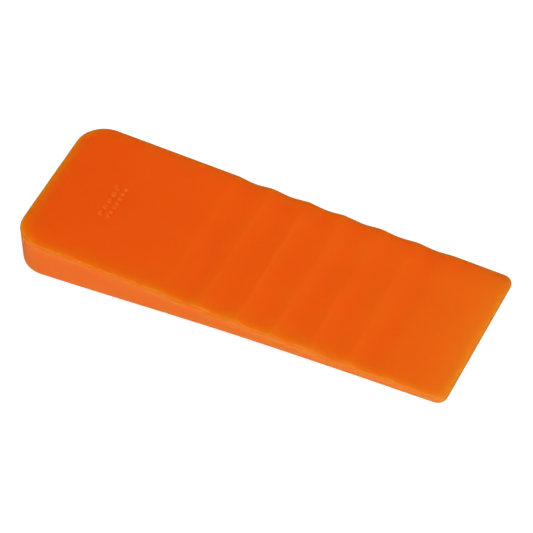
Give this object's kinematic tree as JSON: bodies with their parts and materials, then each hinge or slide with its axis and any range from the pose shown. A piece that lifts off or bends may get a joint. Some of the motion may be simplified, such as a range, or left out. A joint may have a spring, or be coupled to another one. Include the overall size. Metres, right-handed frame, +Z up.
{
  "type": "felling wedge",
  "caption": "Solid plastic felling wedge: a thick flat butt to strike, a slope with shallow cross-wise scallops that grip the wood, and a thin rounded tip.",
  "frame": {"origin": "centre of the footprint on the plane that the wedge rests on", "axes": "+X from the butt to the thin tip, +Y across the width, +Z up out of the scalloped face"},
  "size_m": [0.2, 0.076, 0.0189],
  "materials": {
    "orange_plastic": "satin, slightly translucent moulded plastic"
  },
  "bodies": {
    "root": {"wedge_body": "orange_plastic"}
  },
  "joints": []
}
